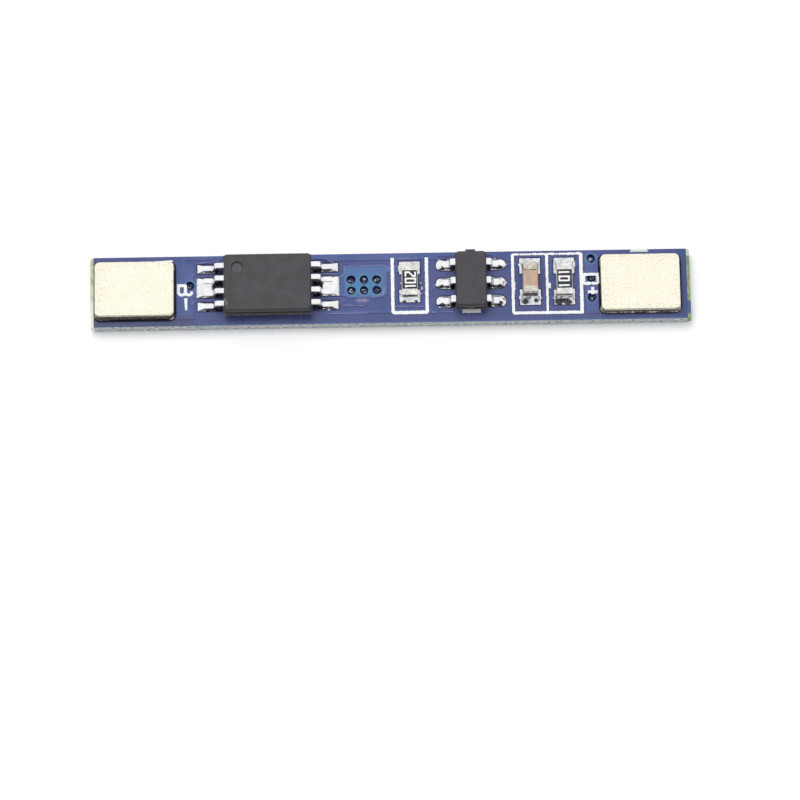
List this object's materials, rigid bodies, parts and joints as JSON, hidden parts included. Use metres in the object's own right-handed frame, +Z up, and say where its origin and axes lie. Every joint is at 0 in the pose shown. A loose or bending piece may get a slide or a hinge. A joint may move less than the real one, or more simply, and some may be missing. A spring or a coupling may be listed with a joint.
{
  "type": "battery management board",
  "caption": "Narrow circuit board that protects a flat cell: nickel tabs at both ends, a switch chip, a controller and small chip parts between them.",
  "frame": {"origin": "under the middle of the board, at the level of the lowest faces of the output pads", "axes": "+X along the board towards the positive tab, +Y across it towards its back edge, +Z up, out of the side with the parts"},
  "size_m": [0.03, 0.0036, 0.0019],
  "materials": {
    "alumina": "white sintered alumina",
    "black_glaze": "black overglaze",
    "capacitor_ceramic": "tan sintered ceramic",
    "copper": "etched copper foil",
    "fibreglass": "glass-fibre laminate, matt, woven fibres cut at the edges",
    "moulded_epoxy": "black moulding compound, matt, finely grained",
    "nickel": "pale nickel plate, finely pitted satin",
    "silicon": "polished silicon",
    "solder": "bright reflowed solder",
    "solder_mask": "grey-blue liquid solder mask, satin gloss",
    "tinned_cap": "matt tin plate",
    "tinned_lead": "matt tin plate",
    "white_ink": "white epoxy ink, slightly uneven"
  },
  "bodies": {
    "root": {"laminate": "fibreglass", "copper_top": "copper", "copper_bottom": "copper", "via_barrels": "copper", "mask_top": "solder_mask", "mask_bottom": "solder_mask", "legend_print": "white_ink", "output_minus_tin": "solder", "output_plus_tin": "solder", "negative_tab": "nickel", "negative_tab_solder": "solder", "positive_tab": "nickel", "positive_tab_solder": "solder", "mosfet_body": "moulded_epoxy", "mosfet_drain_frame": "tinned_lead", "mosfet_die": "silicon", "mosfet_lead_2": "tinned_lead", "mosfet_lead_3": "tinned_lead", "mosfet_lead_4": "tinned_lead", "mosfet_lead_5": "tinned_lead", "mosfet_lead_6": "tinned_lead", "mosfet_lead_7": "tinned_lead", "mosfet_solder": "solder", "controller_body": "moulded_epoxy", "controller_paddle": "tinned_lead", "controller_die": "silicon", "controller_lead_1": "tinned_lead", "controller_lead_2": "tinned_lead", "controller_lead_3": "tinned_lead", "controller_lead_4": "tinned_lead", "controller_lead_5": "tinned_lead", "controller_lead_6": "tinned_lead", "controller_solder": "solder", "sense_resistor_core": "alumina", "sense_resistor_glaze": "black_glaze", "sense_resistor_cap_back": "tinned_cap", "sense_resistor_cap_front": "tinned_cap", "sense_resistor_solder": "solder", "supply_resistor_core": "alumina", "supply_resistor_glaze": "black_glaze", "supply_resistor_cap_back": "tinned_cap", "supply_resistor_cap_front": "tinned_cap", "supply_resistor_solder": "solder", "capacitor_core": "capacitor_ceramic", "capacitor_cap_back": "tinned_cap", "capacitor_cap_front": "tinned_cap", "capacitor_solder": "solder"}
  },
  "joints": []
}
